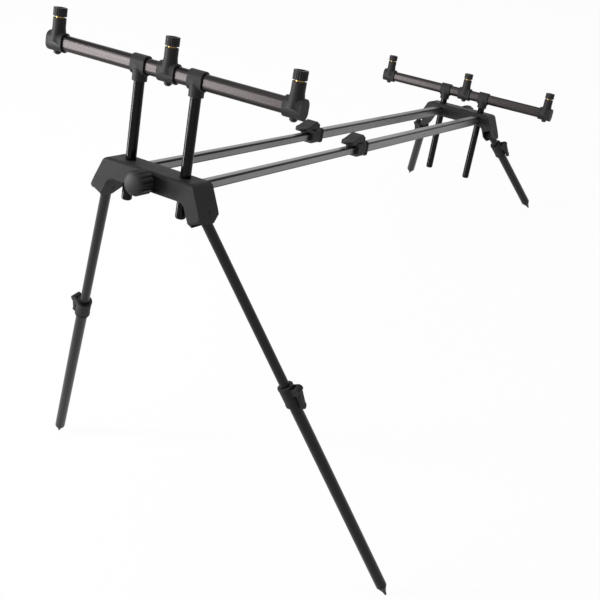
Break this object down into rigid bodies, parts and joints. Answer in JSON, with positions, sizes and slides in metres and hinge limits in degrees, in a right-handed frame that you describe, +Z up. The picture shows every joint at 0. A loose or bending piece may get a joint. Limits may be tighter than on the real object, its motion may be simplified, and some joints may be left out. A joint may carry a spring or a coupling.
{
  "type": "rod pod",
  "caption": "Fishing rod pod with telescopic folding legs, telescopic side tubes and height-adjustable buzz bars with threaded rod-rest sockets",
  "frame": {"origin": "on the ground under the middle of the pod's outline", "axes": "+X towards the tall front end, +Y across to the right in the picture, +Z up"},
  "size_m": [1.0263, 0.6456, 0.7814],
  "materials": {
    "moulding": "fine matt black nylon moulding",
    "bar_tube": "satin gunmetal anodised",
    "side_tube": "satin grey anodised",
    "leg_tube": "dark gunmetal anodised",
    "gloss_tube": "gloss black anodised",
    "steel": "zinc plated steel",
    "brass": "turned brass",
    "lock_ring": "ribbed black",
    "spike": "hard black plastic"
  },
  "bodies": {
    "front_frame": {"front_hub": "moulding", "front_leg_pins": "steel", "side_inner_tubes": "side_tube"},
    "rear_frame": {"rear_hub": "moulding", "rear_leg_pins": "steel", "side_outer_tubes": "side_tube", "left_side_clamp": "moulding", "right_side_clamp": "moulding"},
    "front_bar": {"front_buzz_bar": "bar_tube", "front_uprights": "gloss_tube", "front_upright_caps": "gloss_tube", "front_tee_collars": "moulding", "front_end_sockets": "moulding", "front_centre_socket": "moulding", "front_thread_inserts": "brass"},
    "front_knob": {"front_knob": "moulding", "front_knob_bolt": "steel"},
    "front_clamp_bar": {"front_clamp_bar": "steel"},
    "front_left_ring": {"front_left_ring": "lock_ring"},
    "front_centre_ring": {"front_centre_ring": "lock_ring"},
    "front_right_ring": {"front_right_ring": "lock_ring"},
    "front_left_upper_leg": {"front_left_knuckle": "moulding", "front_left_upper_tube": "leg_tube"},
    "front_left_lower_leg": {"front_left_leg_clamp": "moulding", "front_left_lower_tube": "leg_tube", "front_left_spike": "spike"},
    "front_left_lever": {"front_left_lever": "moulding"},
    "front_right_upper_leg": {"front_right_knuckle": "moulding", "front_right_upper_tube": "leg_tube"},
    "front_right_lower_leg": {"front_right_leg_clamp": "moulding", "front_right_lower_tube": "leg_tube", "front_right_spike": "spike"},
    "front_right_lever": {"front_right_lever": "moulding"},
    "rear_bar": {"rear_buzz_bar": "bar_tube", "rear_uprights": "gloss_tube", "rear_upright_caps": "gloss_tube", "rear_tee_collars": "moulding", "rear_end_sockets": "moulding", "rear_centre_socket": "moulding", "rear_thread_inserts": "brass"},
    "rear_knob": {"rear_knob": "moulding", "rear_knob_bolt": "steel"},
    "rear_clamp_bar": {"rear_clamp_bar": "steel"},
    "rear_left_ring": {"rear_left_ring": "lock_ring"},
    "rear_centre_ring": {"rear_centre_ring": "lock_ring"},
    "rear_right_ring": {"rear_right_ring": "lock_ring"},
    "rear_left_upper_leg": {"rear_left_knuckle": "moulding", "rear_left_upper_tube": "leg_tube"},
    "rear_left_lower_leg": {"rear_left_leg_clamp": "moulding", "rear_left_lower_tube": "leg_tube", "rear_left_spike": "spike"},
    "rear_left_lever": {"rear_left_lever": "moulding"},
    "rear_right_upper_leg": {"rear_right_knuckle": "moulding", "rear_right_upper_tube": "leg_tube"},
    "rear_right_lower_leg": {"rear_right_leg_clamp": "moulding", "rear_right_lower_tube": "leg_tube", "rear_right_spike": "spike"},
    "rear_right_lever": {"rear_right_lever": "moulding"},
    "left_side_lever": {"left_side_lever": "moulding"},
    "right_side_lever": {"right_side_lever": "moulding"}
  },
  "joints": [
    {"name": "length_slide", "type": "slide", "parent": "front_frame", "child": "rear_frame", "axis": [-0.9175, 0, -0.3978], "range_m": [-0.3, 0.12]},
    {"name": "front_bar_lift", "type": "slide", "parent": "front_frame", "child": "front_bar", "axis": [-0.3978, 0, 0.9175], "range_m": [-0.093, 0.015]},
    {"name": "front_knob_turn", "type": "hinge", "parent": "front_frame", "child": "front_knob", "pos_m": [0.48702, 0, 0.6334], "axis": [0.9175, 0, 0.3978], "range_deg": [0, 720]},
    {"name": "front_clamp_release", "type": "slide", "parent": "front_frame", "child": "front_clamp_bar", "axis": [0.9175, 0, 0.3978], "range_m": [0, 0.0032]},
    {"name": "front_left_ring_turn", "type": "hinge", "parent": "front_bar", "child": "front_left_ring", "pos_m": [0.40447, -0.17, 0.77352], "axis": [-0.3978, 0, 0.9175], "continuous": true},
    {"name": "front_centre_ring_turn", "type": "hinge", "parent": "front_bar", "child": "front_centre_ring", "pos_m": [0.40447, 0, 0.77352], "axis": [-0.3978, 0, 0.9175], "continuous": true},
    {"name": "front_right_ring_turn", "type": "hinge", "parent": "front_bar", "child": "front_right_ring", "pos_m": [0.40447, 0.17, 0.77352], "axis": [-0.3978, 0, 0.9175], "continuous": true},
    {"name": "front_left_leg_fold", "type": "hinge", "parent": "front_frame", "child": "front_left_upper_leg", "pos_m": [0.4781, -0.0717, 0.6037], "axis": [0.1637, 0.9114, -0.3775], "range_deg": [-63.4, 68.5]},
    {"name": "front_left_leg_slide", "type": "slide", "parent": "front_left_upper_leg", "child": "front_left_lower_leg", "axis": [-0.0016, 0.383, 0.9238], "range_m": [-0.06, 0.21]},
    {"name": "front_left_lever_open", "type": "hinge", "parent": "front_left_lower_leg", "child": "front_left_lever", "pos_m": [0.47593, -0.18783, 0.36454], "axis": [-0.9865, 0.1506, -0.0642], "range_deg": [0, 110]},
    {"name": "front_right_leg_fold", "type": "hinge", "parent": "front_frame", "child": "front_right_upper_leg", "pos_m": [0.4781, 0.0717, 0.6037], "axis": [-0.1637, 0.9114, 0.3775], "range_deg": [-63.4, 68.5]},
    {"name": "front_right_leg_slide", "type": "slide", "parent": "front_right_upper_leg", "child": "front_right_lower_leg", "axis": [-0.0016, -0.383, 0.9238], "range_m": [-0.06, 0.21]},
    {"name": "front_right_lever_open", "type": "hinge", "parent": "front_right_lower_leg", "child": "front_right_lever", "pos_m": [0.47593, 0.18783, 0.36454], "axis": [0.9865, 0.1506, 0.0642], "range_deg": [0, 110]},
    {"name": "rear_bar_lift", "type": "slide", "parent": "rear_frame", "child": "rear_bar", "axis": [-0.3978, 0, 0.9175], "range_m": [-0.009, 0.1]},
    {"name": "rear_knob_turn", "type": "hinge", "parent": "rear_frame", "child": "rear_knob", "pos_m": [-0.45796, 0, 0.22365], "axis": [-0.9175, 0, -0.3978], "range_deg": [0, 720]},
    {"name": "rear_clamp_release", "type": "slide", "parent": "rear_frame", "child": "rear_clamp_bar", "axis": [-0.9175, 0, -0.3978], "range_m": [0, 0.0032]},
    {"name": "rear_left_ring_turn", "type": "hinge", "parent": "rear_bar", "child": "rear_left_ring", "pos_m": [-0.46985, -0.17, 0.30133], "axis": [-0.3978, 0, 0.9175], "continuous": true},
    {"name": "rear_centre_ring_turn", "type": "hinge", "parent": "rear_bar", "child": "rear_centre_ring", "pos_m": [-0.46985, 0, 0.30133], "axis": [-0.3978, 0, 0.9175], "continuous": true},
    {"name": "rear_right_ring_turn", "type": "hinge", "parent": "rear_bar", "child": "rear_right_ring", "pos_m": [-0.46985, 0.17, 0.30133], "axis": [-0.3978, 0, 0.9175], "continuous": true},
    {"name": "rear_left_leg_fold", "type": "hinge", "parent": "rear_frame", "child": "rear_left_upper_leg", "pos_m": [-0.43019, -0.0717, 0.20986], "axis": [-0.1637, -0.9114, 0.3775], "range_deg": [0, 131.9]},
    {"name": "rear_left_leg_slide", "type": "slide", "parent": "rear_left_upper_leg", "child": "rear_left_lower_leg", "axis": [-0.3438, -0.306, -0.8878], "range_m": [0, 0.1]},
    {"name": "rear_left_lever_open", "type": "hinge", "parent": "rear_left_lower_leg", "child": "rear_left_lever", "pos_m": [-0.44585, -0.09782, 0.18213], "axis": [-0.9247, 0.2751, 0.2633], "range_deg": [0, 110]},
    {"name": "rear_right_leg_fold", "type": "hinge", "parent": "rear_frame", "child": "rear_right_upper_leg", "pos_m": [-0.43019, 0.0717, 0.20986], "axis": [0.1637, -0.9114, -0.3775], "range_deg": [0, 131.9]},
    {"name": "rear_right_leg_slide", "type": "slide", "parent": "rear_right_upper_leg", "child": "rear_right_lower_leg", "axis": [-0.3438, 0.306, -0.8878], "range_m": [0, 0.1]},
    {"name": "rear_right_lever_open", "type": "hinge", "parent": "rear_right_lower_leg", "child": "rear_right_lever", "pos_m": [-0.44585, 0.09782, 0.18213], "axis": [0.9247, 0.2751, -0.2633], "range_deg": [0, 110]},
    {"name": "left_side_lever_open", "type": "hinge", "parent": "rear_frame", "child": "left_side_lever", "pos_m": [0.0526, -0.041, 0.46138], "axis": [0, -1, 0], "range_deg": [0, 110]},
    {"name": "right_side_lever_open", "type": "hinge", "parent": "rear_frame", "child": "right_side_lever", "pos_m": [0.0526, 0.041, 0.46138], "axis": [0, -1, 0], "range_deg": [0, 110]}
  ]
}
